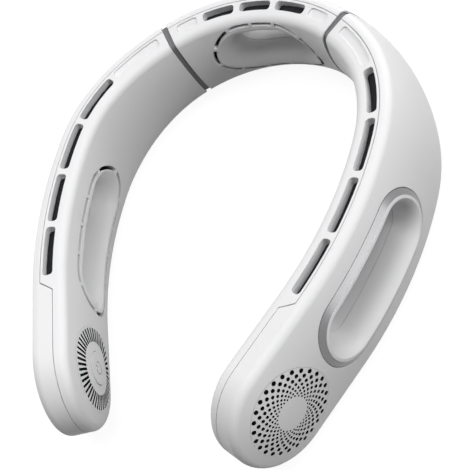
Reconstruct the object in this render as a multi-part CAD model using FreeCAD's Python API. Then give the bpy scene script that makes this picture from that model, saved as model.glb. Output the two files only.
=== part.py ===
"""Bladeless neck fan: a horseshoe collar of three segments, two of them hinged arms with a blower in the tip.

Lengths are in millimetres and angles in degrees. +Z is up, +Y points to the nape and -Y to the open front.
Left and right are as seen from the front, so the right arm is on +X. The origin is below the middle of
the collar's box, at the height of the flats that it stands on.
"""
import FreeCAD, Part
import math
import os
from collections import namedtuple

from FreeCAD import Placement, Rotation, Vector

# Centreline seen from above: an arc round the nape, a wider arc, then a straight run to the fan axis
NAPE_RADIUS = 76.7
NAPE_ANGLE = 89.9
ARM_RADIUS = 183.0
ARM_ANGLE = 23.6
TIP_RUN = 32.7
WALL_LEAN = 9.2

# Wall section: a lens with crowned faces and a flat band along its top and bottom
ARM_HEIGHT = 51.5
REAR_HEIGHT = 45.2
TAPER_RUN = 67.0
THICKNESS = 23.2
CROWN = 4.5
CORNER_RADIUS = 4.0
FACE_WALL = 1.8
BAND_WALL = 4.0
CAVITY_CORNER = 1.5
SEAM_GAP = 0.25
BAND_SEAM = 3.5
TIP_SEAM = -2.2
SEAM_STEP_RUN = 4.5
FOOT_FLAT = 0.4

# Hinged joint between the rear segment and each arm
JOINT_STATION = 48.0
JOINT_GAP = 3.0
BARREL_RECESS = 1.0
BARREL_CLEARANCE = 0.3
PIN_RADIUS = 1.5
PIN_CLEARANCE = 0.05
KNUCKLE_RADIUS = 3.2
KNUCKLE_HEIGHT = 12.0
LUG_THICKNESS = 3.0
LUG_HEIGHT = 9.0
LUG_REACH = 17.0
FOOT_PLATE_THICKNESS = 2.0
SWING_OUT = 10.0

# Vents along the top band
VENT_WIDTH = 4.6
VENT_END_RADIUS = 1.6
ARM_VENT_COUNT = 4
ARM_VENT_LENGTH = 25.0
ARM_VENT_PITCH = 28.0
ARM_VENT_MARGIN = 3.0
REAR_VENT_COUNT = 3
REAR_VENT_LENGTH = 16.6
REAR_VENT_PITCH = 19.8
BLIND_DEPTH = 0.8
BLIND_END_MARGIN = 4.0
MESH_THICKNESS = 0.3
MESH_CLEARANCE = 0.2
MESH_OVERLAP = 3.0

# Oval air ducts through the three segments
ARM_DUCT_SETBACK = 27.3
ARM_DUCT_HALF_RUN = 21.9
ARM_DUCT_RISE = 0.7
ARM_DUCT_BOW = 205.0
ARM_DUCT_SLANT = 6.4
ARM_DUCT_THROAT = 7.8
ARM_DUCT_INNER_LIP = 12.0
REAR_DUCT_HALF_RUN = 8.2
REAR_DUCT_RISE = 1.3
REAR_DUCT_THROAT = 9.5
REAR_DUCT_INNER_LIP = 15.5
DUCT_OUTER_LIP = 12.7
BEZEL_RIM = 1.2
BEZEL_PROUD = 1.2
RING_WIDTH = 2.4
RING_GAP = 0.3
RING_DIP = 0.15
RING_DEPTH = 2.4
RING_CLEARANCE = 0.05
INNER_RIM = 1.2
OUTLET_COUNT = 12
OUTLET_INSET = 2.0
OUTLET_WIDTH = 1.8
OUTLET_RIB = 1.6
OUTLET_FLOOR = 4.5

# Grilles over the blower in each tip
GRILLE_RADIUS = 18.7
GRILLE_WALL = 1.6
GRILLE_CLEARANCE = 0.05
HOLE_RINGS = 8
HOLES_PER_RING = 26
HOLE_LAST_RING = 17.4
HOLE_SHARE = 0.055
RADIAL_SLOT_COUNT = 44
RADIAL_SLOT_INNER = 11.6
RADIAL_SLOT_OUTER = 17.8
RADIAL_SLOT_WIDTH = 1.15

# Blower and its brushless motor
IMPELLER_RADIUS = 17.0
IMPELLER_EYE = 11.5
IMPELLER_HALF_DEPTH = 4.8
IMPELLER_PLATE = 1.0
BLADE_COUNT = 28
BLADE_THICKNESS = 0.8
BLADE_SWEEP = 35.0
HUB_RADIUS = 8.6
HUB_WALL = 0.9
ROTOR_THICKNESS = 1.0
ROTOR_FIT = 0.02
AIR_GAP = 0.5
STATOR_HEIGHT = 5.0
MOTOR_BASE_RADIUS = 8.0
MOTOR_BASE_THICKNESS = 1.4
MOTOR_SEAT_GAP = 0.3
BEARING_RADIUS = 2.2
BOSS_WALL = 1.0
SHAFT_RADIUS = 1.0
SHAFT_CLEARANCE = 0.04
SCREW_COUNT = 3
SCREW_RADIUS = 0.7
SCREW_HEAD_RADIUS = 1.2
SCREW_HEAD_HEIGHT = 0.8
SCREW_BITE = 0.9

# Power button, its switch and board, behind the left inner grille
BUTTON_RADIUS = 7.3
BUTTON_CLEARANCE = 0.2
BUTTON_PROUD = 0.3
BUTTON_WALL = 1.2
BUTTON_TRAVEL = 0.5
FLANGE_WIDTH = 0.8
FLANGE_THICKNESS = 0.6
FLANGE_GAP = 0.1
PLUNGER_RADIUS = 1.2
PLUNGER_HEIGHT = 0.5
PLUNGER_GAP = 0.1
SWITCH_SIDE = 4.5
SWITCH_HEIGHT = 1.8
BOARD_THICKNESS = 1.0
BOARD_RADIUS = 10.3
POST_COUNT = 3
POST_RADIUS = 0.9

# Battery packs and the charging socket
BATTERY_SETBACK = 72.0
BATTERY_LENGTH = 38.0
BATTERY_THICKNESS = 8.0
BATTERY_HEIGHT = 28.0
BATTERY_DROP = 4.0
BATTERY_EDGE = 2.0
CRADLE_RIB = 2.0
CRADLE_SPREAD = 12.0
SEAT_CLEARANCE = 0.3
SOCKET_SETBACK = 17.0
SOCKET_LENGTH = 8.9
SOCKET_WIDTH = 3.2
SOCKET_DEPTH = 7.0
SOCKET_WALL = 0.3
SOCKET_CLEARANCE = 0.15
SOCKET_RECESS = 0.4
TONGUE_THICKNESS = 0.7
TONGUE_LENGTH = 5.0

# Places that follow from the sizes above
NAPE_LENGTH = NAPE_RADIUS * math.radians(NAPE_ANGLE)
ARM_ARC_LENGTH = ARM_RADIUS * math.radians(ARM_ANGLE)
TIP_START = NAPE_LENGTH + ARM_ARC_LENGTH
FAN_STATION = TIP_START + TIP_RUN
ARM_START = JOINT_STATION + JOINT_GAP / 2
REAR_END = JOINT_STATION - JOINT_GAP / 2
ARM_DUCT_STATION = TIP_START - ARM_DUCT_SETBACK
BEZEL_RADIUS = DUCT_OUTER_LIP + BEZEL_RIM
RING_INNER = BEZEL_RADIUS + RING_CLEARANCE
RING_OUTER = RING_INNER + RING_WIDTH
HALF_THICKNESS = THICKNESS / 2
BEYOND = 2 * THICKNESS
OVERCUT = 1.0
BOX_TOLERANCE = 0.1
SECTION_STEP = 12.0
VENT_CORNER_SHARES = (0.0, 0.15, 0.5, 1.0)
VENT_MIDDLE_SHARES = (0.25, 0.5, 0.75)
DUCT_POINTS = 48
DUCT_ANGLES = (-78, -62, -42, -20, 0, 20, 42, 62, 78)
LIP_TURN = math.radians(62)
LIP_FLARE = 4.0
UP = Vector(0, 0, 1)
ALONG = Vector(1, 0, 0)
OUT = Vector(0, 1, 0)
CENTRE = Vector(0, 0, 0)

Contour = namedtuple("Contour", "half_t half_h crown corner centre flat turn_o turn_z mid_o mid_z")


# Centreline and wall section

def frame_at(station):
    """Placement at a distance along the centreline: X along the collar, Y outwards, Z up the leaning wall."""
    first = min(station, NAPE_LENGTH)
    heading = first / NAPE_RADIUS
    x = NAPE_RADIUS * math.sin(heading)
    y = NAPE_RADIUS * (math.cos(heading) - 1)
    second = min(max(station - NAPE_LENGTH, 0), ARM_ARC_LENGTH)
    turned = heading + second / ARM_RADIUS
    x += ARM_RADIUS * (math.sin(turned) - math.sin(heading))
    y += ARM_RADIUS * (math.cos(turned) - math.cos(heading))
    third = max(station - TIP_START, 0)
    x += third * math.cos(turned)
    y -= third * math.sin(turned)
    lean = math.radians(WALL_LEAN)
    along = Vector(math.cos(turned), -math.sin(turned), 0)
    level = Vector(math.sin(turned), math.cos(turned), 0)
    out = level * math.cos(lean) + UP * math.sin(lean)
    up = UP * math.cos(lean) - level * math.sin(lean)
    turn = Rotation(along, out, up, "XYZ")
    return Placement(Vector(x, y, 0), turn)


def height_at(station):
    """Height of the wall: lower round the nape, growing to the arm's height after the joint."""
    share = min(max((abs(station) - JOINT_STATION) / TAPER_RUN, 0), 1)
    return REAR_HEIGHT + (ARM_HEIGHT - REAR_HEIGHT) * share * share * (3 - 2 * share)


def contour(half_t, half_h, crown, corner):
    """Corner points of one side of a lens section."""
    centre = half_t - crown
    flat = centre + math.sqrt((crown - corner) ** 2 - (half_h - corner) ** 2)
    slope = math.atan2(half_h - corner, flat - centre)
    half_way = (slope + math.pi / 2) / 2
    return Contour(half_t, half_h, crown, corner, centre, flat,
                   centre + crown * math.cos(slope), crown * math.sin(slope),
                   flat + corner * math.cos(half_way), half_h - corner + corner * math.sin(half_way))


def crown_radius(height):
    """Radius of the crowned face that bulges by CROWN over the wall's height."""
    return ((height / 2) ** 2 + CROWN ** 2) / (2 * CROWN)


def skin_contour(height, grow=0.0):
    """Outside of the wall, or a surface at an even distance from it."""
    crown = crown_radius(height) + grow
    return contour(HALF_THICKNESS + grow, height / 2 + grow, crown, CORNER_RADIUS + grow)


def cavity_contour(height):
    """Inside of the wall, which is thicker under the bands than at the faces."""
    return contour(HALF_THICKNESS - FACE_WALL, height / 2 - BAND_WALL, crown_radius(height) - FACE_WALL,
                   CAVITY_CORNER)


def section_point(out, up):
    return Vector(0, out, up)


def line(start, end):
    return Part.LineSegment(section_point(*start), section_point(*end)).toShape()


def arc(start, through, end):
    return Part.Arc(section_point(*start), section_point(*through), section_point(*end)).toShape()


def corner_points(shape, sign):
    """Start, middle and end of the upper corner of one face."""
    points = [(shape.flat, shape.half_h), (shape.mid_o, shape.mid_z), (shape.turn_o, shape.turn_z)]
    return [(sign * out, up) for out, up in points]


def face_path(shape, sign, downwards=True):
    """Corner, crown and corner of one face, from one band to the other."""
    corner = corner_points(shape, sign)
    below = [(out, -up) for out, up in reversed(corner)]
    if downwards:
        return [arc(*corner), arc(corner[2], (sign * shape.half_t, 0), below[0]), arc(*below)]
    return [arc(*reversed(below)), arc(below[0], (sign * shape.half_t, 0), corner[2]), arc(*reversed(corner))]


def half_face_path(shape, sign, downwards=True):
    """Corner and half of the crown, from the top band to mid height."""
    corner = corner_points(shape, sign)
    quarter = math.asin(shape.turn_z / shape.crown) / 2
    middle = (sign * (shape.centre + shape.crown * math.cos(quarter)), shape.crown * math.sin(quarter))
    if downwards:
        return [arc(*corner), arc(corner[2], middle, (sign * shape.half_t, 0))]
    return [arc((sign * shape.half_t, 0), middle, corner[2]), arc(*reversed(corner))]


def filled_wire(shape):
    """Whole section as one closed outline."""
    bottom = line((shape.flat, -shape.half_h), (-shape.flat, -shape.half_h))
    top = line((-shape.flat, shape.half_h), (shape.flat, shape.half_h))
    return Part.Wire(face_path(shape, 1) + [bottom] + face_path(shape, -1, False) + [top])


def seam_edge(sign, seam):
    """Where a shell ends across the band, half a gap from the middle of the seam."""
    return seam + sign * SEAM_GAP / 2


def wall_wire(height, sign, seam):
    """Section of one shell: the face on one side, with the top and bottom bands as far as the seam."""
    skin = skin_contour(height)
    cavity = cavity_contour(height)
    edge = seam_edge(sign, seam)
    edges = [line((edge, skin.half_h), (sign * skin.flat, skin.half_h))] + face_path(skin, sign)
    edges.append(line((sign * skin.flat, -skin.half_h), (edge, -skin.half_h)))
    edges.append(line((edge, -skin.half_h), (edge, -cavity.half_h)))
    edges.append(line((edge, -cavity.half_h), (sign * cavity.flat, -cavity.half_h)))
    edges += face_path(cavity, sign, False)
    edges.append(line((sign * cavity.flat, cavity.half_h), (edge, cavity.half_h)))
    edges.append(line((edge, cavity.half_h), (edge, skin.half_h)))
    return Part.Wire(edges)


def half_wall_wire(height, sign, seam):
    """Upper half of a shell's section, which turns about the fan axis to round off the tip."""
    skin = skin_contour(height)
    cavity = cavity_contour(height)
    edge = seam_edge(sign, seam)
    edges = [line((edge, skin.half_h), (sign * skin.flat, skin.half_h))] + half_face_path(skin, sign)
    edges.append(line((sign * skin.half_t, 0), (sign * cavity.half_t, 0)))
    edges += half_face_path(cavity, sign, False)
    edges.append(line((sign * cavity.flat, cavity.half_h), (edge, cavity.half_h)))
    edges.append(line((edge, cavity.half_h), (edge, skin.half_h)))
    return Part.Wire(edges)


def half_filled_wire(shape):
    """Upper half of a whole section, closed along the fan axis."""
    axis = line((-shape.half_t, 0), (shape.half_t, 0))
    top = line((shape.flat, shape.half_h), (-shape.flat, shape.half_h))
    upper = half_face_path(shape, 1, False) + [top] + half_face_path(shape, -1)
    return Part.Wire(upper + [axis])


def stations(start, end):
    count = max(int(math.ceil((end - start) / SECTION_STEP)), 3)
    return [start + (end - start) * step / count for step in range(count + 1)]


def placed(shape, frame):
    moved = shape.copy()
    moved.Placement = frame.multiply(moved.Placement)
    return moved


def loft_along(start, end, wire_of_height):
    """Solid through sections set square to the centreline."""
    wires = [placed(wire_of_height(height_at(place)), frame_at(place)) for place in stations(start, end)]
    return Part.makeLoft(wires, True, False)


def joined(first, *others):
    whole = first.fuse(list(others))
    return whole.removeSplitter()


def tip_solid(run_wire, half_wire):
    """Straight run of a section and the half turn that rounds off the tip."""
    run = Part.Face(run_wire).extrude(ALONG * TIP_RUN)
    dome = Part.Face(half_wire).revolve(CENTRE, OUT, 180)
    return placed(run, frame_at(TIP_START)), placed(dome, frame_at(FAN_STATION))


def arm_shell(sign):
    """Shell of the right arm: sign -1 is the inner face, 1 the outer. The seam changes sides at the tip."""
    curved = loft_along(ARM_START, TIP_START, lambda height: wall_wire(height, sign, BAND_SEAM))
    run, dome = tip_solid(wall_wire(ARM_HEIGHT, sign, TIP_SEAM), half_wall_wire(ARM_HEIGHT, sign, TIP_SEAM))
    if sign < 0:
        return joined(curved, run, dome, *seam_step())
    return joined(curved, run, dome).cut(seam_step(2 * SEAM_GAP, OVERCUT))


def arm_filled(start, grow=0.0):
    """Arm as one block from a station to the tip, its surface grown outwards or shrunk."""
    curved = loft_along(start, TIP_START, lambda height: filled_wire(skin_contour(height, grow)))
    skin = skin_contour(ARM_HEIGHT, grow)
    run, dome = tip_solid(filled_wire(skin), half_filled_wire(skin))
    return joined(curved, run, dome)


def tip_filled(grow=0.0):
    """Straight run and round end of the tip as one block."""
    skin = skin_contour(ARM_HEIGHT, grow)
    return joined(*tip_solid(filled_wire(skin), half_filled_wire(skin)))


def rear_shell(sign):
    return loft_along(-REAR_END, REAR_END, lambda height: wall_wire(height, sign, BAND_SEAM))


def rear_filled(grow=0.0):
    return loft_along(-REAR_END, REAR_END, lambda height: filled_wire(skin_contour(height, grow)))


def block(x_range, y_range, z_range):
    """Box between three pairs of limits."""
    corner = Vector(x_range[0], y_range[0], z_range[0])
    return Part.makeBox(x_range[1] - x_range[0], y_range[1] - y_range[0], z_range[1] - z_range[0], corner)


def seam_step(shift=0.0, over=0.0):
    """Wedges of band at the start of the tip, along which the seam crosses to the other side of the band."""
    skin = skin_contour(ARM_HEIGHT)
    low = cavity_contour(ARM_HEIGHT).half_h - over
    far = seam_edge(-1, TIP_SEAM)
    near = BAND_SEAM if shift else seam_edge(-1, BAND_SEAM)
    corners = [Vector(-over, far, low), Vector(-over, near, low)]
    if shift:
        corners.append(Vector(shift, near, low))
    corners.append(Vector(SEAM_STEP_RUN + shift, far, low))
    wedge = Part.Face(Part.makePolygon(corners + corners[:1])).extrude(UP * (skin.half_h + over - low))
    below = wedge.mirror(CENTRE, UP)
    return [placed(piece, frame_at(TIP_START)) for piece in (wedge, below)]


# Vents in the top band

def vent_half_width(along, length):
    """Half width of a vent at a distance from its start, with rounded corners."""
    from_end = min(along, length - along)
    short = max(VENT_END_RADIUS - from_end, 0)
    return VENT_WIDTH / 2 - VENT_END_RADIUS + math.sqrt(VENT_END_RADIUS ** 2 - short ** 2)


def vent_block(middle, length, depth):
    """Block that cuts a vent down into the band, following the centreline."""
    ends = [VENT_END_RADIUS * share for share in VENT_CORNER_SHARES]
    inner = [VENT_END_RADIUS + (length - 2 * VENT_END_RADIUS) * share for share in VENT_MIDDLE_SHARES]
    places = ends + inner + [length - place for place in reversed(ends)]
    wires = []
    for place in places:
        station = middle - length / 2 + place
        top = height_at(station) / 2
        half = vent_half_width(place, length)
        above = top + OVERCUT
        corners = [(-half, top - depth), (half, top - depth), (half, above), (-half, above)]
        wire = Part.makePolygon([section_point(*corner) for corner in corners + corners[:1]])
        wires.append(placed(wire, frame_at(station)))
    return Part.makeLoft(wires, True, True)


def arm_vent_middles():
    """Middles of the arm's open vents, counted back from the step in the seam."""
    last = TIP_START - ARM_VENT_MARGIN - ARM_VENT_LENGTH / 2
    return [last - ARM_VENT_PITCH * step for step in reversed(range(ARM_VENT_COUNT))]


def rear_vent_middles():
    return [REAR_VENT_PITCH * (step - (REAR_VENT_COUNT - 1) / 2) for step in range(REAR_VENT_COUNT)]


def arm_vents():
    """Open vents of the arm and the blind one next to the joint."""
    middles = arm_vent_middles()
    cuts = [vent_block(middle, ARM_VENT_LENGTH, BAND_WALL + OVERCUT) for middle in middles]
    blind_end = middles[0] - ARM_VENT_PITCH + ARM_VENT_LENGTH / 2
    blind_start = ARM_START + BLIND_END_MARGIN
    cuts.append(vent_block((blind_start + blind_end) / 2, blind_end - blind_start, BLIND_DEPTH))
    return Part.makeCompound(cuts)


def rear_vents():
    """Open vents of the rear segment and the blind one at each end."""
    middles = rear_vent_middles()
    cuts = [vent_block(middle, REAR_VENT_LENGTH, BAND_WALL + OVERCUT) for middle in middles]
    blind_start = middles[-1] + REAR_VENT_PITCH - REAR_VENT_LENGTH / 2
    blind_end = REAR_END - BLIND_END_MARGIN
    for side in (-1, 1):
        cuts.append(vent_block(side * (blind_start + blind_end) / 2, blind_end - blind_start, BLIND_DEPTH))
    return Part.makeCompound(cuts)


def mesh_strip(start, end):
    """Thin dust mesh that lies under the vents, just below the band."""
    def strip_wire(height):
        cavity = cavity_contour(height)
        top = cavity.half_h - MESH_CLEARANCE
        half = cavity.flat - MESH_CLEARANCE
        corners = [(-half, top - MESH_THICKNESS), (half, top - MESH_THICKNESS), (half, top), (-half, top)]
        return Part.makePolygon([section_point(*corner) for corner in corners + corners[:1]])
    return loft_along(start, end, strip_wire)


def arm_mesh():
    middles = arm_vent_middles()
    reach = ARM_VENT_LENGTH / 2 + MESH_OVERLAP
    return mesh_strip(middles[0] - reach, min(middles[-1] + reach, TIP_START))


def rear_mesh():
    reach = rear_vent_middles()[-1] + REAR_VENT_LENGTH / 2 + MESH_OVERLAP
    return mesh_strip(-reach, reach)


# Oval ducts

def stadium_face(half_run, radius):
    """Oval outline in the duct's own frame, as a face."""
    start = Vector(-half_run, 0, radius)
    end = Vector(half_run, 0, radius)
    below = Vector(half_run, 0, -radius)
    back = Vector(-half_run, 0, -radius)
    edges = [
        Part.LineSegment(start, end).toShape(),
        Part.Arc(end, Vector(half_run + radius, 0, 0), below).toShape(),
        Part.LineSegment(below, back).toShape(),
        Part.Arc(back, Vector(-half_run - radius, 0, 0), start).toShape(),
    ]
    return Part.Face(Part.Wire(edges))


def stadium_block(frame, half_run, radius, depth_range):
    """Oval prism through the wall between two depths."""
    face = stadium_face(half_run, radius)
    face.translate(OUT * depth_range[0])
    return placed(face.extrude(OUT * (depth_range[1] - depth_range[0])), frame)


def stadium_walk(half_run, radius, share):
    """Point and outward direction at a share of the way round an oval."""
    straight = 2 * half_run
    bend = math.pi * radius
    walk = (share % 1.0) * 2 * (straight + bend)
    side = 1
    if walk >= straight + bend:
        walk -= straight + bend
        side = -1
    if walk < straight:
        return (side * (walk - half_run), side * radius), (0.0, float(side))
    angle = math.pi / 2 - (walk - straight) / radius
    normal = (side * math.cos(angle), side * math.sin(angle))
    return (side * half_run + radius * normal[0], radius * normal[1]), normal


def duct_wire(half_run, radius, depth_of, shift=0.0):
    """Smooth closed oval, shifted along the wall, whose depth in the wall follows the bowed face."""
    points = []
    for step in range(DUCT_POINTS):
        (along, up), _ = stadium_walk(half_run, radius, step / DUCT_POINTS)
        points.append(Vector(along + shift, depth_of(along + shift, up), up))
    curve = Part.BSplineCurve()
    curve.interpolate(points, PeriodicFlag=True)
    return Part.Wire(curve.toShape())


Duct = namedtuple("Duct", "frame rise half_run bow slant height throat inner_lip")


def duct_frame(station, rise):
    """Frame at the middle of a duct, above or below the centreline."""
    return frame_at(station).multiply(Placement(UP * rise, Rotation()))


def arm_duct():
    frame = duct_frame(ARM_DUCT_STATION, ARM_DUCT_RISE)
    return Duct(frame, ARM_DUCT_RISE, ARM_DUCT_HALF_RUN, ARM_DUCT_BOW, ARM_DUCT_SLANT, ARM_HEIGHT,
                ARM_DUCT_THROAT, ARM_DUCT_INNER_LIP)


def rear_duct():
    frame = duct_frame(0.0, REAR_DUCT_RISE)
    return Duct(frame, REAR_DUCT_RISE, REAR_DUCT_HALF_RUN, NAPE_RADIUS, 0.0, REAR_HEIGHT,
                REAR_DUCT_THROAT, REAR_DUCT_INNER_LIP)


def inner_mouth(duct):
    """Frame of the duct's mouth on the inner face, which a slanted duct has nearer to the joint."""
    return duct.frame.multiply(Placement(ALONG * -duct.slant, Rotation()))


def face_sag(duct, along, up):
    """How far the crowned and bowed face falls back from the height of the wall's middle."""
    return (up + duct.rise) ** 2 / (2 * crown_radius(duct.height)) + along * along / (2 * duct.bow)


def passage(duct):
    """Air passage that narrows to its throat at mid thickness and flares out through both faces."""
    crown = crown_radius(duct.height)
    reach = duct.slant + duct.half_run + DUCT_OUTER_LIP + LIP_FLARE
    sag = reach * reach / (2 * duct.bow)

    def section(angle):
        turn = math.radians(angle)
        lip = duct.inner_lip if angle < 0 else DUCT_OUTER_LIP
        face = HALF_THICKNESS if angle < 0 else HALF_THICKNESS + BEZEL_PROUD
        radius = duct.throat + (lip - duct.throat) * (1 - math.cos(turn)) / (1 - math.cos(LIP_TURN))
        share = math.sin(turn) / math.sin(LIP_TURN)

        def depth(along, up):
            return share * (face - (up + duct.rise) ** 2 / (2 * crown)) - along * along / (2 * duct.bow)
        return duct_wire(duct.half_run, radius, depth, duct.slant * (share - 1) / 2)

    below = -HALF_THICKNESS - sag - LIP_FLARE
    above = HALF_THICKNESS + BEZEL_PROUD + LIP_FLARE
    wires = [duct_wire(duct.half_run, duct.inner_lip + LIP_FLARE, lambda along, up: below, -duct.slant)]
    wires += [section(angle) for angle in DUCT_ANGLES]
    wires.append(duct_wire(duct.half_run, DUCT_OUTER_LIP + LIP_FLARE, lambda along, up: above))
    return placed(Part.makeLoft(wires, True, False), duct.frame)


def inner_half(duct, grow=0.0):
    """Cylinder that holds the inner half of the wall beside a duct."""
    centre = Vector(0, -duct.bow, -BEYOND)
    return placed(Part.makeCylinder(duct.bow + grow, 2 * BEYOND, centre, UP), duct.frame)


def outlet_cuts(duct):
    """Ring of narrow air outlets round the duct's mouth on the inner face."""
    inside = duct.inner_lip + OUTLET_INSET
    ring = stadium_face(duct.half_run, inside + OUTLET_WIDTH).cut(stadium_face(duct.half_run, inside))
    ribs = []
    for step in range(OUTLET_COUNT):
        (along, up), (normal_x, normal_z) = stadium_walk(duct.half_run, inside, (step + 0.5) / OUTLET_COUNT)
        rib = block((-OUTLET_WIDTH, 2 * OUTLET_WIDTH), (-OVERCUT, OVERCUT), (-OUTLET_RIB / 2, OUTLET_RIB / 2))
        turn = Rotation(OUT, math.degrees(math.atan2(-normal_z, normal_x)))
        ribs.append(placed(rib, Placement(Vector(along, 0, up), turn)))
    slots = ring.cut(ribs)
    slots.translate(OUT * -BEYOND)
    return placed(slots.extrude(OUT * (BEYOND - OUTLET_FLOOR)), inner_mouth(duct))


def ducted_inner_shell(shell, duct, middle_of_wall, air):
    """Inner shell with the inner half of the duct moulded on, and its ring of outlets."""
    lining = stadium_block(inner_mouth(duct), duct.half_run, duct.inner_lip + INNER_RIM, (-BEYOND, BEYOND))
    lining = lining.common(middle_of_wall).common(inner_half(duct))
    return shell.fuse(lining).cut([air, outlet_cuts(duct)])


def ducted_outer_shell(shell, duct):
    """Outer shell with the opening that the trim ring sits in."""
    return shell.cut(stadium_block(duct.frame, duct.half_run, RING_OUTER + RING_GAP, (0, BEYOND)))


def duct_bezel(duct, proud_wall, air):
    """Outer half of the duct, a separate moulding whose lip stands proud of the face."""
    bezel = stadium_block(duct.frame, duct.half_run, BEZEL_RADIUS, (-BEYOND, BEYOND)).common(proud_wall)
    return bezel.cut([inner_half(duct, SEAM_GAP), air])


def ring_mound(duct):
    """Solid below the trim ring's top, which rises from just under the face to the bezel's lip."""
    slope = BEZEL_PROUD / RING_WIDTH
    below = -HALF_THICKNESS
    above = HALF_THICKNESS + BEZEL_PROUD + LIP_FLARE

    def section(radius):
        height = HALF_THICKNESS - RING_DIP + (RING_OUTER - radius) * slope
        return duct_wire(duct.half_run, radius, lambda along, up: height - face_sag(duct, along, up))

    low = RING_OUTER + RING_GAP
    high = RING_INNER - RING_GAP
    wires = [duct_wire(duct.half_run, low, lambda along, up: below), section(low), section(high),
             duct_wire(duct.half_run, high, lambda along, up: above)]
    return placed(Part.makeLoft(wires, True, True), duct.frame)


def trim_ring(duct, ring_floor):
    """Oval trim ring between the bezel and the outer shell."""
    ring = stadium_block(duct.frame, duct.half_run, RING_OUTER, (-BEYOND, BEYOND))
    through = (-BEYOND - OVERCUT, BEYOND + OVERCUT)
    ring = ring.cut(stadium_block(duct.frame, duct.half_run, RING_INNER, through))
    return ring.common(ring_mound(duct)).cut([ring_floor, inner_half(duct)])


# Hinge

def barrel_solid(grow=0.0):
    """Round barrel on the hinge axis, set in from the wall's outside."""
    shape = skin_contour(REAR_HEIGHT, grow - BARREL_RECESS)
    edges = [
        line((0, -shape.half_h), (shape.flat, -shape.half_h)),
        *face_path(shape, 1, False),
        line((shape.flat, shape.half_h), (0, shape.half_h)),
        line((0, shape.half_h), (0, -shape.half_h)),
    ]
    return Part.Face(Part.Wire(edges)).revolve(CENTRE, UP, 360)


def upright(radius, height):
    """Cylinder on the hinge axis, centred at mid height."""
    return Part.makeCylinder(radius, height, UP * (-height / 2), UP)


def pin_length():
    return REAR_HEIGHT - 2 * (BARREL_RECESS + BAND_WALL)


def hinge_barrel():
    """Soft grey barrel that fills the joint, with a socket and a window for the arm's lug."""
    reach = HALF_THICKNESS + BARREL_CLEARANCE
    half_open = LUG_THICKNESS / 2 + reach * math.tan(math.radians(SWING_OUT)) + BARREL_CLEARANCE
    half_high = LUG_HEIGHT / 2 + BARREL_CLEARANCE
    socket = upright(KNUCKLE_RADIUS + BARREL_CLEARANCE, KNUCKLE_HEIGHT + 2 * BARREL_CLEARANCE)
    window = block((0, reach), (-half_open, half_open), (-half_high, half_high))
    bore = upright(PIN_RADIUS + PIN_CLEARANCE, pin_length() + 2 * PIN_CLEARANCE)
    return placed(barrel_solid().cut([socket, window, bore]), frame_at(JOINT_STATION))


def hinge_pin():
    return placed(upright(PIN_RADIUS, pin_length()), frame_at(JOINT_STATION))


def hinge_bracket():
    """Knuckle on the pin, with a lug that carries a plate seated across the arm's cavity."""
    lug = block((0, LUG_REACH), (-LUG_THICKNESS / 2, LUG_THICKNESS / 2), (-LUG_HEIGHT / 2, LUG_HEIGHT / 2))
    knuckle = upright(KNUCKLE_RADIUS, KNUCKLE_HEIGHT)
    sag = (LUG_HEIGHT / 2) ** 2 / (2 * crown_radius(REAR_HEIGHT))
    half_width = HALF_THICKNESS - FACE_WALL - SEAT_CLEARANCE - sag
    plate = block((-FOOT_PLATE_THICKNESS / 2, FOOT_PLATE_THICKNESS / 2), (-half_width, half_width),
                  (-LUG_HEIGHT / 2, LUG_HEIGHT / 2))
    arm = placed(knuckle.fuse(lug), frame_at(JOINT_STATION))
    whole = joined(arm, placed(plate, frame_at(JOINT_STATION + LUG_REACH)))
    bore = upright(PIN_RADIUS + PIN_CLEARANCE, KNUCKLE_HEIGHT + OVERCUT)
    return whole.cut(placed(bore, frame_at(JOINT_STATION)))


# Tip: grilles, blower and motor, in a frame whose Z runs out along the fan axis

def fan_frame():
    """Frame on the fan axis: X up the wall, Y along the collar, Z outwards."""
    turn = Rotation(UP, ALONG, OUT, "XYZ")
    return frame_at(FAN_STATION).multiply(Placement(CENTRE, turn))


def disc(radius, low, high):
    """Cylinder on the fan axis between two heights."""
    return Part.makeCylinder(radius, high - low, UP * low, UP)


def tube(outer, inner, low, high):
    return disc(outer, low, high).cut(disc(inner, low - OVERCUT, high + OVERCUT))


def around(shape, count, start=0.0):
    """Copies of a shape spread evenly about the fan axis."""
    copies = []
    for step in range(count):
        copy = shape.copy()
        copy.rotate(CENTRE, UP, start + 360.0 * step / count)
        copies.append(copy)
    return copies


def sunflower_holes():
    """Rings of round holes that shrink inwards, each ring half a step round from the last."""
    ratio = math.exp(-math.pi / HOLES_PER_RING)
    holes = []
    for ring in range(HOLE_RINGS):
        radius = HOLE_LAST_RING * ratio ** ring
        start = Vector(radius, 0, HALF_THICKNESS / 2)
        hole = Part.makeCylinder(HOLE_SHARE * radius, HALF_THICKNESS, start, UP)
        holes += around(hole, HOLES_PER_RING, (ring % 2) * 180.0 / HOLES_PER_RING)
    return holes


def grille_cap(low, high):
    """Round piece of the tip's face, thinner than the wall."""
    cap = placed(disc(GRILLE_RADIUS, low, high), fan_frame())
    return cap.common(tip_filled()).cut(tip_filled(-GRILLE_WALL))


def motor_base_low():
    """Height of the motor base's lower face on the fan axis."""
    return HALF_THICKNESS - GRILLE_WALL - MOTOR_SEAT_GAP - MOTOR_BASE_THICKNESS


def screw_ring():
    """Radius at which the motor's screws sit, inside the edge of its base."""
    return MOTOR_BASE_RADIUS - SCREW_HEAD_RADIUS - BOSS_WALL


def screw_cylinders(radius, low, high):
    cylinder = Part.makeCylinder(radius, high - low, Vector(screw_ring(), 0, low), UP)
    return around(cylinder, SCREW_COUNT)


def in_fan_frame(shapes):
    frame = fan_frame()
    return [placed(shape, frame) for shape in shapes]


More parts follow.
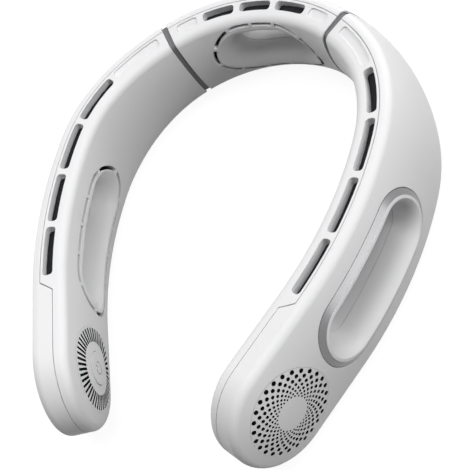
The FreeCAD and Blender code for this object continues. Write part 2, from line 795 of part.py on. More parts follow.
def outer_grille():
    """Perforated cap over the blower on the outer face, with blind holes for the motor's screws."""
    pilots = screw_cylinders(SCREW_RADIUS, 0, HALF_THICKNESS - GRILLE_WALL + SCREW_BITE)
    return grille_cap(0, BEYOND).cut(in_fan_frame(sunflower_holes() + pilots))


def board_low():
    """Height of the face of the control board that carries the switch."""
    cap_inside = -HALF_THICKNESS - BUTTON_PROUD + BUTTON_WALL
    return cap_inside + BUTTON_TRAVEL + PLUNGER_GAP + PLUNGER_HEIGHT + SWITCH_HEIGHT


def board_posts():
    """Posts on the inner grille that the control board sits on."""
    place = BOARD_RADIUS - POST_RADIUS
    low = -HALF_THICKNESS + GRILLE_WALL / 2
    post = Part.makeCylinder(POST_RADIUS, board_low() - low, Vector(place, 0, low), UP)
    return around(post, POST_COUNT)


def inner_grille(has_button):
    """Cap with radial slots on the inner face. The left one holds the power button and its board."""
    half = RADIAL_SLOT_WIDTH / 2
    slot = block((RADIAL_SLOT_INNER, RADIAL_SLOT_OUTER), (-half, half), (-BEYOND, 0))
    grille = grille_cap(-BEYOND, 0).cut(in_fan_frame(around(slot, RADIAL_SLOT_COUNT)))
    if has_button:
        grille = grille.cut(in_fan_frame([disc(BUTTON_RADIUS + BUTTON_CLEARANCE, -BEYOND, 0)]))
        grille = grille.fuse(in_fan_frame(board_posts()))
    return grille


def motor_mount():
    """Base seated behind the blank middle of the outer grille, with the bearing's boss."""
    low = motor_base_low()
    base = placed(disc(MOTOR_BASE_RADIUS, low, BEYOND), fan_frame())
    base = base.common(tip_filled(-GRILLE_WALL - MOTOR_SEAT_GAP))
    boss = disc(BEARING_RADIUS + BOSS_WALL, boss_low(), low)
    holes = screw_cylinders(SCREW_RADIUS, boss_low(), BEYOND)
    whole = joined(base, *in_fan_frame([boss]))
    return whole.cut(in_fan_frame([disc(BEARING_RADIUS, 0, low)] + holes))


def boss_low():
    """Height where the bearing's boss ends, above the impeller's plate."""
    return IMPELLER_PLATE / 2 + AIR_GAP


def stator_high():
    return motor_base_low() - SCREW_HEAD_HEIGHT - AIR_GAP


def rotor_outer():
    return HUB_RADIUS - HUB_WALL - ROTOR_FIT


def stator():
    """Wound iron core round the bearing's boss."""
    outer = rotor_outer() - ROTOR_THICKNESS - AIR_GAP
    high = stator_high()
    core = tube(outer, BEARING_RADIUS + BOSS_WALL + ROTOR_FIT, high - STATOR_HEIGHT, high)
    return in_fan_frame([core])[0]


def rotor():
    """Magnet ring inside the impeller's hub."""
    high = stator_high()
    ring = tube(rotor_outer(), rotor_outer() - ROTOR_THICKNESS, high - STATOR_HEIGHT, high)
    return in_fan_frame([ring])[0]


def bearing():
    low = boss_low()
    sleeve = tube(BEARING_RADIUS - ROTOR_FIT, SHAFT_RADIUS + SHAFT_CLEARANCE, low, motor_base_low())
    return in_fan_frame([sleeve])[0]


def shaft():
    return in_fan_frame([disc(SHAFT_RADIUS, -IMPELLER_PLATE / 2, motor_base_low() - SHAFT_CLEARANCE)])[0]


def impeller():
    """Blower wheel: hub, plate, swept blades and a ring that ties their ends on each side."""
    half = IMPELLER_PLATE / 2
    plate = disc(IMPELLER_RADIUS, -half, half)
    hub = disc(HUB_RADIUS, -half, stator_high())
    chord = 2 * (IMPELLER_RADIUS - IMPELLER_EYE)
    depth = (-IMPELLER_HALF_DEPTH, IMPELLER_HALF_DEPTH)
    blade = block((0, chord), (-BLADE_THICKNESS / 2, BLADE_THICKNESS / 2), depth)
    blade = placed(blade, Placement(Vector(IMPELLER_EYE, 0, 0), Rotation(UP, BLADE_SWEEP)))
    blade = blade.common(disc(IMPELLER_RADIUS, *depth))
    ring_inner = IMPELLER_RADIUS - 2 * IMPELLER_PLATE
    top_ring = tube(IMPELLER_RADIUS, ring_inner, IMPELLER_HALF_DEPTH - half, IMPELLER_HALF_DEPTH)
    low_ring = tube(IMPELLER_RADIUS, ring_inner, -IMPELLER_HALF_DEPTH, half - IMPELLER_HALF_DEPTH)
    wheel = plate.fuse([hub, top_ring, low_ring] + around(blade, BLADE_COUNT))
    hollow = disc(HUB_RADIUS - HUB_WALL, half, BEYOND)
    bore = disc(SHAFT_RADIUS + ROTOR_FIT, -BEYOND, BEYOND)
    return in_fan_frame([wheel.cut([hollow, bore])])[0]


def motor_screws():
    """Screws that hold the motor base to the grille, as separate solids."""
    low = motor_base_low()
    tip = HALF_THICKNESS - GRILLE_WALL + SCREW_BITE - SHAFT_CLEARANCE
    heads = screw_cylinders(SCREW_HEAD_RADIUS, low - SCREW_HEAD_HEIGHT, low)
    stems = screw_cylinders(SCREW_RADIUS - ROTOR_FIT, low - SCREW_HEAD_HEIGHT, tip)
    return Part.makeCompound(in_fan_frame([head.fuse(stem) for head, stem in zip(heads, stems)]))


# Power button and its electronics

def power_button():
    """Round cap in the middle of the left inner grille, kept in by a flange behind it."""
    flange_radius = BUTTON_RADIUS + FLANGE_WIDTH
    sag = flange_radius ** 2 / (2 * (crown_radius(ARM_HEIGHT) - GRILLE_WALL))
    flange_low = -HALF_THICKNESS + GRILLE_WALL + sag + FLANGE_GAP
    flange_high = flange_low + FLANGE_THICKNESS
    cap_inside = -HALF_THICKNESS - BUTTON_PROUD + BUTTON_WALL
    cap = placed(disc(BUTTON_RADIUS, -BEYOND, flange_high), fan_frame()).common(tip_filled(BUTTON_PROUD))
    flange = disc(flange_radius, flange_low, flange_high)
    hollow = disc(BUTTON_RADIUS - BUTTON_WALL, cap_inside, flange_high + OVERCUT)
    return cap.fuse(in_fan_frame([flange])).cut(in_fan_frame([hollow]))


def control_board():
    low = board_low()
    return in_fan_frame([disc(BOARD_RADIUS, low, low + BOARD_THICKNESS)])[0]


def tact_switch():
    """Push switch on the control board, under the button."""
    high = board_low()
    half = SWITCH_SIDE / 2
    body = block((-half, half), (-half, half), (high - SWITCH_HEIGHT, high))
    plunger = disc(PLUNGER_RADIUS, high - SWITCH_HEIGHT - PLUNGER_HEIGHT, high)
    return in_fan_frame([body.fuse(plunger)])[0]


# Battery and charging socket

def battery_frame():
    return frame_at(ARM_DUCT_STATION - BATTERY_SETBACK)


def battery_limits():
    """Limits of the pack in its own frame, set in by half the collar's bow over its length."""
    shift = (BATTERY_LENGTH / 2) ** 2 / (4 * NAPE_RADIUS)
    half = BATTERY_THICKNESS / 2
    upright_range = (-BATTERY_DROP - BATTERY_HEIGHT / 2, -BATTERY_DROP + BATTERY_HEIGHT / 2)
    return (-BATTERY_LENGTH / 2, BATTERY_LENGTH / 2), (-shift - half, -shift + half), upright_range


def battery():
    """Flat pouch pack with rounded long edges."""
    pack = block(*battery_limits())
    edges = [edge for edge in pack.Edges if abs(edge.tangentAt(edge.FirstParameter).y) < 0.5]
    return placed(pack.makeFillet(BATTERY_EDGE, edges), battery_frame())


def battery_cradle(middle_of_wall):
    """Two ribs inside the inner shell that the pack rests against."""
    _, across, upright_range = battery_limits()
    ribs = []
    for side in (-1, 1):
        place = side * CRADLE_SPREAD
        along = (place - CRADLE_RIB / 2, place + CRADLE_RIB / 2)
        rib = block(along, (-BEYOND, across[0] - SEAT_CLEARANCE), upright_range)
        ribs.append(placed(rib, battery_frame()).common(middle_of_wall))
    return ribs


def socket_frame():
    return frame_at(FAN_STATION - SOCKET_SETBACK)


def rounded_bar(length, width, low, high):
    """Upright bar with half-round ends, along the collar."""
    run = (length - width) / 2
    middle = block((-run, run), (-width / 2, width / 2), (low, high))
    ends = [Part.makeCylinder(width / 2, high - low, Vector(side * run, 0, low), UP) for side in (-1, 1)]
    return middle.fuse(ends).removeSplitter()


def socket_opening():
    low = -ARM_HEIGHT
    high = -ARM_HEIGHT / 2 + SOCKET_RECESS + SOCKET_DEPTH
    gap = 2 * SOCKET_CLEARANCE
    return placed(rounded_bar(SOCKET_LENGTH + gap, SOCKET_WIDTH + gap, low, high), socket_frame())


def charging_socket():
    """Metal socket shell with its contact tongue, opening through the bottom band."""
    low = -ARM_HEIGHT / 2 + SOCKET_RECESS
    high = low + SOCKET_DEPTH
    wall = 2 * SOCKET_WALL
    shell = rounded_bar(SOCKET_LENGTH, SOCKET_WIDTH, low, high)
    hollow = rounded_bar(SOCKET_LENGTH - wall, SOCKET_WIDTH - wall, low - OVERCUT, high - SOCKET_WALL)
    half = (SOCKET_LENGTH - SOCKET_WIDTH) / 2
    tongue = block((-half, half), (-TONGUE_THICKNESS / 2, TONGUE_THICKNESS / 2), (high - TONGUE_LENGTH, high))
    return placed(shell.cut(hollow).fuse(tongue), socket_frame())


# Segments

def right_arm(has_controls):
    """Every piece of an arm, modelled on the right. Controls and the charging socket go in one arm only."""
    duct = arm_duct()
    air = passage(duct)
    near = ARM_DUCT_STATION - BATTERY_SETBACK - BATTERY_LENGTH / 2
    middle_of_wall = arm_filled(near, -FACE_WALL / 2)
    barrel_room = placed(barrel_solid(BARREL_CLEARANCE), frame_at(JOINT_STATION))
    grille_room = GRILLE_RADIUS + GRILLE_CLEARANCE
    inner_room, outer_room = in_fan_frame([disc(grille_room, -BEYOND, 0), disc(grille_room, 0, BEYOND)])
    inner = ducted_inner_shell(arm_shell(-1), duct, middle_of_wall, air)
    inner = inner.fuse(battery_cradle(middle_of_wall))
    inner = inner.cut([arm_vents(), inner_room, barrel_room])
    outer = ducted_outer_shell(arm_shell(1), duct).cut([outer_room, barrel_room])
    if has_controls:
        outer = outer.cut(socket_opening())
    pieces = {
        "inner_shell": inner,
        "outer_shell": outer,
        "duct_bezel": duct_bezel(duct, arm_filled(near, BEZEL_PROUD), air),
        "trim_ring": trim_ring(duct, arm_filled(near, -RING_DEPTH)),
        "vent_mesh": arm_mesh(),
        "hinge_bracket": hinge_bracket(),
        "outer_grille": outer_grille(),
        "inner_grille": inner_grille(has_controls),
        "motor_mount": motor_mount(),
        "motor_screws": motor_screws(),
        "stator": stator(),
        "bearing": bearing(),
        "rotor": rotor(),
        "shaft": shaft(),
        "impeller": impeller(),
        "battery": battery(),
    }
    return pieces


def control_pieces():
    """Pieces that only the arm with the power button has."""
    return {
        "power_button": power_button(),
        "control_board": control_board(),
        "tact_switch": tact_switch(),
        "charging_socket": charging_socket(),
    }


def mirrored(shape):
    return shape.mirror(CENTRE, ALONG)


def rear_segment():
    """Pieces of the rear segment, without its joints."""
    duct = rear_duct()
    air = passage(duct)
    barrel_room = placed(barrel_solid(BARREL_CLEARANCE), frame_at(JOINT_STATION))
    rooms = [barrel_room, mirrored(barrel_room)]
    inner = ducted_inner_shell(rear_shell(-1), duct, rear_filled(-FACE_WALL / 2), air)
    return {
        "rear_inner_shell": inner.cut([rear_vents()] + rooms),
        "rear_outer_shell": ducted_outer_shell(rear_shell(1), duct).cut(rooms),
        "rear_duct_bezel": duct_bezel(duct, rear_filled(BEZEL_PROUD), air),
        "rear_trim_ring": trim_ring(duct, rear_filled(-RING_DEPTH)),
        "rear_vent_mesh": rear_mesh(),
    }


def joint_pieces():
    return {"hinge_barrel": hinge_barrel(), "hinge_pin": hinge_pin()}


def assembly():
    """All pieces by node name, in the frame of the centreline."""
    nodes = rear_segment()
    for name, shape in joint_pieces().items():
        nodes["right_" + name] = shape
        nodes["left_" + name] = mirrored(shape)
    for name, shape in right_arm(False).items():
        nodes["right_" + name] = shape
    for name, shape in right_arm(True).items():
        nodes["left_" + name] = mirrored(shape)
    for name, shape in control_pieces().items():
        nodes[name] = mirrored(shape)
    return nodes


def foot_height():
    """Height of the flats under the arms: the lowest line of the leaning section, less what is cut off."""
    lean = math.radians(WALL_LEAN)
    skin = skin_contour(ARM_HEIGHT)
    lowest = skin.flat * math.sin(lean) + (skin.half_h - CORNER_RADIUS) * math.cos(lean) + CORNER_RADIUS
    return FOOT_FLAT - lowest


def stood(nodes):
    """Pieces cut flat underneath, with the origin below the middle of their box."""
    floor = foot_height()
    reach = 2 * (FAN_STATION + ARM_HEIGHT)
    below = block((-reach, reach), (-reach, reach), (floor - ARM_HEIGHT, floor))
    for name in nodes:
        if name.endswith("inner_shell") or name.endswith("outer_shell"):
            nodes[name] = nodes[name].cut(below)
    points = []
    for shape in nodes.values():
        points += shape.tessellate(BOX_TOLERANCE)[0]
    middle = (min(point.y for point in points) + max(point.y for point in points)) / 2
    for shape in nodes.values():
        shape.translate(Vector(0, -middle, -floor))
    return nodes


os.makedirs("parts", exist_ok=True)
for node, solid in stood(assembly()).items():
    solid.exportStep("parts/" + node + ".step")
    print(node, len(solid.Solids), "solid", round(solid.Volume, 1), "mm3", solid.isValid())
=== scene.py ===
"""Neck fan: the looks of a bladeless collar fan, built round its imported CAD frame. Lengths are in metres."""
import math

import bmesh
import bpy
from mathutils import Matrix, Vector


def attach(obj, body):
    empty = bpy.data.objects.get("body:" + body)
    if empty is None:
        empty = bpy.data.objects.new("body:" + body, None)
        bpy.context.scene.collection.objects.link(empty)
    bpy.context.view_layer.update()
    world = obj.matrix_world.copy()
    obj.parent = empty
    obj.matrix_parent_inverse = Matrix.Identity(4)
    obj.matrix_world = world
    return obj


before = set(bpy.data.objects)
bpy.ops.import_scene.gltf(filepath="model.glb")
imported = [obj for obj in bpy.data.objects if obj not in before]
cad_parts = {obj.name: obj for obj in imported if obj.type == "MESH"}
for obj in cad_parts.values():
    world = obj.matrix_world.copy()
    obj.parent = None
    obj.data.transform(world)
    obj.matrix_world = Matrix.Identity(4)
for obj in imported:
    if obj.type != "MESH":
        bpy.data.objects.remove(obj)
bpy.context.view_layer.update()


# White mouldings: the shells, duct bezels and power button of the collar.
# Injection-moulded plastic with a satin spark finish. Edges are broken by a small radius.
# The inner and outer shells meet in a hairline seam along the band.
class Value:
    """One number in a graph of nodes. Sums and products of values add Math nodes."""

    def __init__(self, graph, socket):
        self.graph = graph
        self.socket = socket

    def maths(self, operation, first, second):
        return self.graph.node("ShaderNodeMath", {"operation": operation}, {0: first, 1: second})

    def __add__(self, other):
        return self.maths("ADD", self, other)

    def __radd__(self, other):
        return self.maths("ADD", other, self)

    def __mul__(self, other):
        return self.maths("MULTIPLY", self, other)

    def __rmul__(self, other):
        return self.maths("MULTIPLY", other, self)


class Graph:
    """A tree of nodes, with one method that adds any node."""

    def __init__(self, tree):
        self.tree = tree

    def link(self, socket, value):
        if isinstance(value, Value):
            self.tree.links.new(value.socket, socket)
        else:
            socket.default_value = value

    def node(self, kind, settings, sockets, output=0):
        made = self.tree.nodes.new(kind)
        for name, value in settings.items():
            setattr(made, name, value)
        for name, value in sockets.items():
            self.link(made.inputs[name], value)
        return Value(self, made.outputs[output])

    def background_ray(self):
        """One for rays that should see the white background: straight, reflected or through glass."""
        path = self.tree.nodes.new("ShaderNodeLightPath")
        seen = Value(self, path.outputs["Is Camera Ray"])
        mirrored = Value(self, path.outputs["Is Glossy Ray"])
        through = Value(self, path.outputs["Is Transmission Ray"])
        return seen.maths("MAXIMUM", seen.maths("MAXIMUM", seen, mirrored), through)


class Finish(Graph):
    """A material, with its shader's sockets set by name."""

    def __init__(self, name):
        self.material = bpy.data.materials.new(name)
        self.material.use_nodes = True
        super().__init__(self.material.node_tree)
        self.shader = self.tree.nodes["Principled BSDF"]
        self.place = self.node("ShaderNodeTexCoord", {}, {}, "Object")

    def noise(self, scale, detail=3.0, roughness=0.5):
        return self.node("ShaderNodeTexNoise", {},
                         {"Vector": self.place, "Scale": scale, "Detail": detail, "Roughness": roughness})

    def blended(self, share, first, second):
        """Colour between two colours."""
        return self.node("ShaderNodeMix", {"data_type": "RGBA"}, {"Factor": share, 6: first, 7: second}, 2)

    def flat(self):
        """Normal of the surface without smoothing."""
        return self.node("ShaderNodeNewGeometry", {}, {}, "True Normal")

    def rounded(self, edge):
        """Normal of the surface with its edges rounded by a small radius."""
        return self.node("ShaderNodeBevel", {"samples": 4}, {"Radius": edge})

    def facing(self, direction):
        """Cosine of the angle between the flat surface and a direction."""
        return self.node("ShaderNodeVectorMath", {"operation": "DOT_PRODUCT"},
                         {0: self.flat(), 1: direction}, "Value")

    def ramp(self, value, low, high):
        """Share from nought to one as a value goes from low to high."""
        return self.node("ShaderNodeMapRange", {}, {"Value": value, "From Min": low, "From Max": high})

    def bumped(self, height, strength, distance, **base):
        """Normal from a height, on the surface's own normal or another one."""
        sockets = {"Strength": strength, "Distance": distance, "Height": height}
        return self.node("ShaderNodeBump", {}, {**sockets, **base})

    def set(self, **sockets):
        """Values or links of the shader's own sockets, named with underscores."""
        for name, value in sockets.items():
            self.link(self.shader.inputs[name.replace("_", " ")], value)


DRIFT_SCALE = 18.0
DRIFT_GLOSS = 0.06
GRAIN_SCALE = 5200.0
GRAIN_GLOSS = 0.05
GRAIN_DEPTH = 0.00004
PLASTIC_SPECULAR = 0.3


def moulded(name, tones, gloss, grain, edge=0.0, flat=False):
    """Satin plastic: a slow drift in tone and gloss, and a fine spark-eroded grain."""
    finish = Finish(name)
    drift = finish.noise(DRIFT_SCALE, 2.0)
    sparkle = finish.noise(GRAIN_SCALE, 2.0, 0.6)
    finish.tone = finish.blended(drift, *tones)
    base = {}
    if edge:
        base["Normal"] = finish.rounded(edge)
    if flat:
        base["Normal"] = finish.flat()
    finish.set(Base_Color=finish.tone, Specular_IOR_Level=PLASTIC_SPECULAR,
               Roughness=gloss + DRIFT_GLOSS * drift + GRAIN_GLOSS * sparkle,
               Normal=finish.bumped(sparkle, grain, GRAIN_DEPTH, **base))
    return finish


def painted(finish, *names):
    for name in names:
        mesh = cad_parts[name].data
        mesh.materials.clear()
        mesh.materials.append(finish.material)


SEGMENTS = ("rear", "left", "right")
SIDES = ("left", "right")
MOULDED_EDGE = 0.0003
WHITE_TONES = ((0.76, 0.76, 0.765, 1), (0.73, 0.73, 0.74, 1))
WHITE_GLOSS = 0.44
WHITE_GRAIN = 0.25
white = moulded("satin_white_moulding", WHITE_TONES, WHITE_GLOSS, WHITE_GRAIN, edge=MOULDED_EDGE)
for piece in ("inner_shell", "outer_shell", "duct_bezel"):
    painted(white, *[segment + "_" + piece for segment in SEGMENTS])
painted(white, "power_button")

# Grilles: round plates in the tips, with spiral rows of holes outside and radial slots inside.
# White faces with painted shade: walls that turn away from the fan axis, as in the holes, are painted black so
# that the holes look dark.
# They are shaded by their flat faces, because the middle of each cap is a pole of its surface.
PAINTED_HOLE_SHADE = (0.006, 0.006, 0.007, 1)
HOLE_WALL = 0.35
FLAT_FACE = 0.45
FAN_OUT = {"left": Vector((-0.90526, -0.39362, 0.15988)), "right": Vector((0.90526, -0.39362, 0.15988))}
for side in SIDES:
    grille = moulded(side + "_two_shot_grille", WHITE_TONES, WHITE_GLOSS, WHITE_GRAIN, flat=True)
    along_axis = grille.facing(FAN_OUT[side])
    # Painted shade: share of the white tone, nought on the hole walls and one on faces along the fan axis.
    unshaded_share = grille.ramp(along_axis * along_axis, HOLE_WALL, FLAT_FACE)
    grille.set(Base_Color=grille.blended(unshaded_share, PAINTED_HOLE_SHADE, grille.tone))
    painted(grille, side + "_outer_grille", side + "_inner_grille")

# Trim rings: oval rings that rise from the outer shell to the lip of each duct bezel.
# Pressed aluminium with a grey skin and a fine satin grain, set in the gap round the bezel.
TRIM_TONES = ((0.20, 0.20, 0.205, 1), (0.25, 0.25, 0.255, 1))
trim = Finish("satin_silver_trim")
brush = trim.noise(900.0, 4.0, 0.7)
trim.set(Base_Color=trim.blended(brush, *TRIM_TONES), Metallic=0.5, Roughness=0.28 + 0.12 * brush,
         Normal=trim.bumped(brush, 0.2, 0.00003))
painted(trim, *[segment + "_trim_ring" for segment in SEGMENTS])

# Hinge barrels: the recessed grey bands that show between the segments.
# Soft rubber-like plastic over the hinge pin, with a matt skin.
BARREL_TONES = ((0.15, 0.15, 0.155, 1), (0.18, 0.18, 0.185, 1))
soft_grey = moulded("soft_grey_barrel", BARREL_TONES, 0.58, 0.5)
painted(soft_grey, *[side + "_hinge_barrel" for side in SIDES])

# Dust mesh: a black backing strip under each row of vents, with a woven cloth on it.
# Nylon threads cross over and under each other. The strip is held by the band from below.
BACKING_TONES = ((0.004, 0.004, 0.006, 1), (0.008, 0.008, 0.011, 1))
THREAD_TONES = ((0.010, 0.010, 0.014, 1), (0.018, 0.018, 0.024, 1))
dark_backing = moulded("black_dust_backing", BACKING_TONES, 0.7, 0.5)
painted(dark_backing, *[segment + "_vent_mesh" for segment in SEGMENTS])
nylon = moulded("black_nylon_thread", THREAD_TONES, 0.5, 0.3)

NAPE_RADIUS = 0.0767
NAPE_ANGLE = math.radians(89.9)
ARM_RADIUS = 0.183
WALL_LEAN = math.radians(9.2)
REAR_HEIGHT = 0.0452
ARM_HEIGHT = 0.0515
JOINT_STATION = 0.048
TAPER_RUN = 0.067
CENTRE_BACK = 0.09606
CENTRE_HEIGHT = 0.025747


def wall_height(station):
    share = min(max((abs(station) - JOINT_STATION) / TAPER_RUN, 0), 1)
    return REAR_HEIGHT + (ARM_HEIGHT - REAR_HEIGHT) * share * share * (3 - 2 * share)


def collar_frame(station):
    """Point on the collar's centreline, with the ways outwards and up the leaning wall."""
    side = math.copysign(1, station)
    heading = min(abs(station) / NAPE_RADIUS, NAPE_ANGLE)
    turned = heading + max(abs(station) - NAPE_RADIUS * NAPE_ANGLE, 0) / ARM_RADIUS
    x = NAPE_RADIUS * math.sin(heading) + ARM_RADIUS * (math.sin(turned) - math.sin(heading))
    y = NAPE_RADIUS * (math.cos(heading) - 1) + ARM_RADIUS * (math.cos(turned) - math.cos(heading))
    level = Vector((side * math.sin(turned), math.cos(turned), 0))
    out = level * math.cos(WALL_LEAN) + Vector((0, 0, math.sin(WALL_LEAN)))
    up = Vector((0, 0, math.cos(WALL_LEAN))) - level * math.sin(WALL_LEAN)
    return Vector((side * x, y + CENTRE_BACK, CENTRE_HEIGHT)), out, up


class Pattern(Graph):
    """A Geometry Nodes group with named inputs, which makes repeated detail from a base mesh."""

    def __init__(self, name):
        super().__init__(bpy.data.node_groups.new(name, "GeometryNodeTree"))
        self.tree.interface.new_socket("Geometry", in_out="INPUT", socket_type="NodeSocketGeometry")
        self.tree.interface.new_socket("Geometry", in_out="OUTPUT", socket_type="NodeSocketGeometry")
        self.entry = self.tree.nodes.new("NodeGroupInput")
        self.base = Value(self, self.entry.outputs["Geometry"])

    def size(self, name):
        self.tree.interface.new_socket(name, in_out="INPUT", socket_type="NodeSocketFloat")
        return Value(self, self.entry.outputs[name])

    def ends_in(self, geometry, material):
        whole = self.node("GeometryNodeRealizeInstances", {}, {"Geometry": geometry})
        coloured = self.node("GeometryNodeSetMaterial", {}, {"Geometry": whole, "Material": material})
        self.link(self.tree.nodes.new("NodeGroupOutput").inputs["Geometry"], coloured)

    def made(self, name, base_mesh, sizes):
        """New piece: the group run on a base mesh and turned into a plain mesh."""
        piece = bpy.data.objects.new(name, base_mesh)
        bpy.context.collection.objects.link(piece)
        modifier = piece.modifiers.new(name, "NODES")
        modifier.node_group = self.tree
        for socket in self.tree.interface.items_tree:
            if socket.in_out == "INPUT" and socket.name in sizes:
                modifier[socket.identifier] = sizes[socket.name]
        graph = bpy.context.evaluated_depsgraph_get()
        result = bpy.data.meshes.new_from_object(piece.evaluated_get(graph))
        piece.modifiers.clear()
        piece.data = result
        return piece


THREAD_SIDES = 5


def weave_pattern(material):
    """Tubes along lines of points, each point pushed to its own side of the cloth."""
    weave = Pattern("woven_threads")
    radius = weave.size("Thread Radius")
    lift = weave.size("Lift")
    rise = weave.node("GeometryNodeInputNamedAttribute", {"data_type": "FLOAT_VECTOR"}, {"Name": "rise"})
    offset = weave.node("ShaderNodeVectorMath", {"operation": "SCALE"}, {0: rise, "Scale": lift})
    bent = weave.node("GeometryNodeSetPosition", {}, {"Geometry": weave.base, "Offset": offset})
    threads = weave.node("GeometryNodeMeshToCurve", {}, {"Mesh": bent})
    profile = weave.node("GeometryNodeCurvePrimitiveCircle", {},
                         {"Resolution": THREAD_SIDES, "Radius": radius})
    tubes = weave.node("GeometryNodeCurveToMesh", {}, {"Curve": threads, "Profile Curve": profile})
    weave.ends_in(tubes, material)
    return weave


BAND_WALL = 0.004
CLOTH_DROP = 0.00018
CLOTH_HALF_WIDTH = 0.0028
THREAD_PITCH = 0.0007
THREAD_RADIUS = 0.00013
THREAD_LIFT = 0.00005
CLOTH_RUNS = {"rear": (-0.0295, 0.0295), "left": (-0.194, -0.0825), "right": (0.0825, 0.194)}


def cloth_lines(name, start, end):
    """Lines along and across the cloth under the vents, with the way each crossing is pushed."""
    rows = int((end - start) / THREAD_PITCH)
    columns = int(2 * CLOTH_HALF_WIDTH / THREAD_PITCH)
    points = []
    edges = []
    rises = []

    def crossing(row, column, over, joined):
        station = start + (end - start) * row / rows
        place, out, up = collar_frame(station)
        depth = wall_height(station) / 2 - BAND_WALL - CLOTH_DROP
        if joined:
            edges.append((len(points) - 1, len(points)))
        points.append(place + out * CLOTH_HALF_WIDTH * (2 * column / columns - 1) + up * depth)
        rises.extend(up * over)

    for column in range(columns + 1):
        for row in range(rows + 1):
            crossing(row, column, (-1) ** (row + column), row > 0)
    for row in range(rows + 1):
        for column in range(columns + 1):
            crossing(row, column, -(-1) ** (row + column), column > 0)
    mesh = bpy.data.meshes.new(name)
    mesh.from_pydata(points, edges, [])
    mesh.attributes.new("rise", "FLOAT_VECTOR", "POINT").data.foreach_set("vector", rises)
    return mesh


weave = weave_pattern(nylon.material)
for segment, (start, end) in CLOTH_RUNS.items():
    cloth = weave.made(segment + "_vent_cloth", cloth_lines(segment + "_vent_lines", start, end),
                       {"Thread Radius": THREAD_RADIUS, "Lift": THREAD_LIFT})
    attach(cloth, segment if segment == "rear" else segment + "_arm")

# Power sign: an open ring with a bar, printed on the button in the left inner grille.
# Grey ink with a little depth, let into the button's face.
INK_TONES = ((0.30, 0.30, 0.31, 1), (0.36, 0.36, 0.37, 1))
ink = moulded("grey_sign_ink", INK_TONES, 0.5, 0.3)
FAN_PLACE = Vector((-0.048483, -0.083784, 0.025747))
BUTTON_FACE = 0.0119
SIGN_RADIUS = 0.0027
SIGN_LINE = 0.00045
SIGN_DEPTH = 0.0003
SIGN_PROUD = 0.00002
SIGN_GAP = math.radians(35)
SIGN_BAR = (0.0006, 0.0034)
SIGN_STEPS = 40


def power_sign(name):
    """Open ring and bar, as thin blocks that stand on the button's face."""
    out = FAN_OUT["left"]
    up = (Vector((0, 0, 1)) - out * out.z).normalized()
    right = up.cross(-out)
    face = FAN_PLACE - out * (BUTTON_FACE + SIGN_PROUD)
    sketch = bmesh.new()

    def block(outline):
        top = [sketch.verts.new(face + right * x + up * y) for x, y in outline]
        solid = bmesh.ops.extrude_face_region(sketch, geom=[sketch.faces.new(top)])
        moved = [item for item in solid["geom"] if isinstance(item, bmesh.types.BMVert)]
        bmesh.ops.translate(sketch, vec=out * SIGN_DEPTH, verts=moved)

    def arc(radius):
        sweep = 2 * math.pi - 2 * SIGN_GAP
        angles = [SIGN_GAP + sweep * step / SIGN_STEPS for step in range(SIGN_STEPS + 1)]
        return [(math.sin(angle) * radius, math.cos(angle) * radius) for angle in angles]

    half = SIGN_LINE / 2
    block(arc(SIGN_RADIUS + half) + arc(SIGN_RADIUS - half)[::-1])
    block([(-half, SIGN_BAR[0]), (half, SIGN_BAR[0]), (half, SIGN_BAR[1]), (-half, SIGN_BAR[1])])
    bmesh.ops.recalc_face_normals(sketch, faces=sketch.faces)
    mesh = bpy.data.meshes.new(name)
    sketch.to_mesh(mesh)
    sketch.free()
    mesh.materials.append(ink.material)
    sign = bpy.data.objects.new(name, mesh)
    bpy.context.collection.objects.link(sign)
    return sign


sign = power_sign("power_sign")
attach(sign, "power_button")

# Inside of the arms: hinge brackets, motor mounts, blower wheels and the push switch.
# Dark moulded plastic that shows only through the grilles and slots.
INNER_TONES = ((0.010, 0.010, 0.011, 1), (0.016, 0.016, 0.017, 1))
dark_plastic = moulded("dark_inner_plastic", INNER_TONES, 0.55, 0.4)
for piece in ("hinge_bracket", "motor_mount", "impeller"):
    painted(dark_plastic, *[side + "_" + piece for side in SIDES])
painted(dark_plastic, "tact_switch")

# Steel pieces: pins, screws, magnet rings, shafts and the charging socket.
# Turned or drawn steel with a fine mottle in tone and gloss.
STEEL_TONES = ((0.55, 0.55, 0.56, 1), (0.63, 0.63, 0.64, 1))
steel = Finish("drawn_steel")
mottle = steel.noise(1400.0, 3.0, 0.7)
steel.set(Base_Color=steel.blended(mottle, *STEEL_TONES), Metallic=1.0, Roughness=0.28 + 0.14 * mottle)
for piece in ("hinge_pin", "motor_screws", "rotor", "shaft"):
    painted(steel, *[side + "_" + piece for side in SIDES])
painted(steel, "charging_socket")

# Motor stators and bearings: plain rings that stand for the wound cores, and bronze sleeves.
# A mottled copper tone, duller where it is lighter.
COPPER_TONES = ((0.50, 0.22, 0.10, 1), (0.66, 0.33, 0.16, 1))
copper = Finish("copper_winding")
turns = copper.noise(1100.0, 3.0, 0.6)
copper.set(Base_Color=copper.blended(turns, *COPPER_TONES), Metallic=1.0, Roughness=0.32 + 0.15 * turns)
painted(copper, *[side + "_" + piece for side in SIDES for piece in ("stator", "bearing")])

# Battery packs: flat pouch cells, one in each arm.
# Matt silver laminate with a slightly crumpled skin.
FOIL_TONES = ((0.50, 0.51, 0.53, 1), (0.60, 0.61, 0.63, 1))
foil = Finish("pouch_laminate")
crumple = foil.noise(160.0, 4.0, 0.55)
foil.set(Base_Color=foil.blended(crumple, *FOIL_TONES), Metallic=0.6, Roughness=0.35 + 0.2 * crumple,
         Normal=foil.bumped(crumple, 0.4, 0.0004))
painted(foil, *[side + "_battery" for side in SIDES])

# Control board: round circuit board on posts behind the power button.
# Green solder mask, mottled as over a copper pattern.
MASK_TONES = ((0.010, 0.09, 0.035, 1), (0.018, 0.14, 0.055, 1))
mask = Finish("green_solder_mask")
tracks = mask.noise(700.0, 1.0)
mask.set(Base_Color=mask.blended(tracks, *MASK_TONES), Roughness=0.32 + 0.1 * tracks)
painted(mask, "control_board")

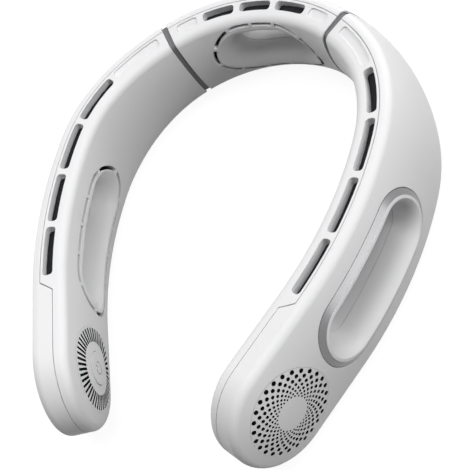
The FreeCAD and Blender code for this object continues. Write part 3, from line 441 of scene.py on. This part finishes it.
# Floor and surround: a plain floor that looks white to the camera and keeps a faint shadow.
# Matt paper, with a glow that only straight, reflected and transmitted rays see.
FLOOR_HALF = 3.0
FLOOR_GLOW = 0.9
PAPER_TONE = (0.17, 0.17, 0.17, 1)
SKY_TONE = (0.92, 0.92, 0.92, 1)
floor_mesh = bpy.data.meshes.new("studio_floor")
corners = [(-FLOOR_HALF, -FLOOR_HALF, 0), (FLOOR_HALF, -FLOOR_HALF, 0), (FLOOR_HALF, FLOOR_HALF, 0),
           (-FLOOR_HALF, FLOOR_HALF, 0)]
floor_mesh.from_pydata(corners, [], [(0, 1, 2, 3)])
floor = bpy.data.objects.new("studio_floor", floor_mesh)
bpy.context.collection.objects.link(floor)
paper = Finish("pale_paper")
paper.set(Base_Color=PAPER_TONE, Roughness=0.9, Specular_IOR_Level=0.0)
plain = Value(paper, paper.shader.outputs[0])
glow = paper.node("ShaderNodeEmission", {}, {"Color": (1, 1, 1, 1), "Strength": FLOOR_GLOW})
bright = paper.node("ShaderNodeAddShader", {}, {0: plain, 1: glow})
surface = paper.node("ShaderNodeMixShader", {}, {0: paper.background_ray(), 1: plain, 2: bright})
paper.link(paper.tree.nodes["Material Output"].inputs["Surface"], surface)
floor_mesh.materials.append(paper.material)

scene = bpy.context.scene
scene.view_settings.view_transform = "Standard"
scene.world = bpy.data.worlds.new("white_surround")
scene.world.use_nodes = True
surround = Graph(scene.world.node_tree)
sky = surround.tree.nodes["Background"]
sky.inputs["Color"].default_value = SKY_TONE
surround.link(sky.inputs["Strength"], surround.background_ray())


# Light: large soft lamps overhead, behind and at both sides, as in a product studio.
# Each is a square area lamp turned to the collar. The left one stands low and lights the left arm's outside.
def softbox(name, place, side, power):
    """Square soft lamp at a place, facing the collar."""
    lamp = bpy.data.lights.new(name, "AREA")
    lamp.energy = power
    lamp.size = side
    stand = bpy.data.objects.new(name, lamp)
    bpy.context.collection.objects.link(stand)
    stand.location = place
    stand.rotation_euler = (-Vector(place)).to_track_quat("-Z", "Y").to_euler()


softbox("top_lamp", (-0.1, -0.05, 1.2), 0.8, 11.0)
softbox("left_lamp", (-1.1, 0.1, 0.2), 0.35, 3.5)
softbox("back_lamp", (0.1, 0.9, 0.28), 0.4, 3.0)
softbox("right_lamp", (1.1, 0.1, 0.8), 0.8, 10.2)
softbox("right_back_lamp", (0.8, 0.9, 0.7), 0.7, 1.2)

# Camera: the photograph's own view, worked out from the collar's outline, vents and ducts.
# Its place is in metres. The two directions are those of the picture's width and height.
SENSOR = 36.0
PHOTO_SIDE = 470.0
FOCAL_PIXELS = 1016.04
CAMERA_PLACE = Vector((0.22563, -0.18209, 0.36377))
PICTURE_ACROSS = Vector((0.86819, 0.25991, -0.42272))
PICTURE_DOWN = Vector((0.03839, -0.88449, -0.46498))
view = bpy.data.cameras.new("photo_view")
view.sensor_width = SENSOR
view.sensor_fit = "HORIZONTAL"
view.lens = SENSOR * FOCAL_PIXELS / PHOTO_SIDE
view.clip_start = 0.01
away = PICTURE_ACROSS.cross(PICTURE_DOWN)
turn = Matrix((PICTURE_ACROSS, -PICTURE_DOWN, -away)).transposed().to_4x4()
camera = bpy.data.objects.new("photo_view", view)
bpy.context.collection.objects.link(camera)
camera.matrix_world = Matrix.Translation(CAMERA_PLACE) @ turn
scene.camera = camera
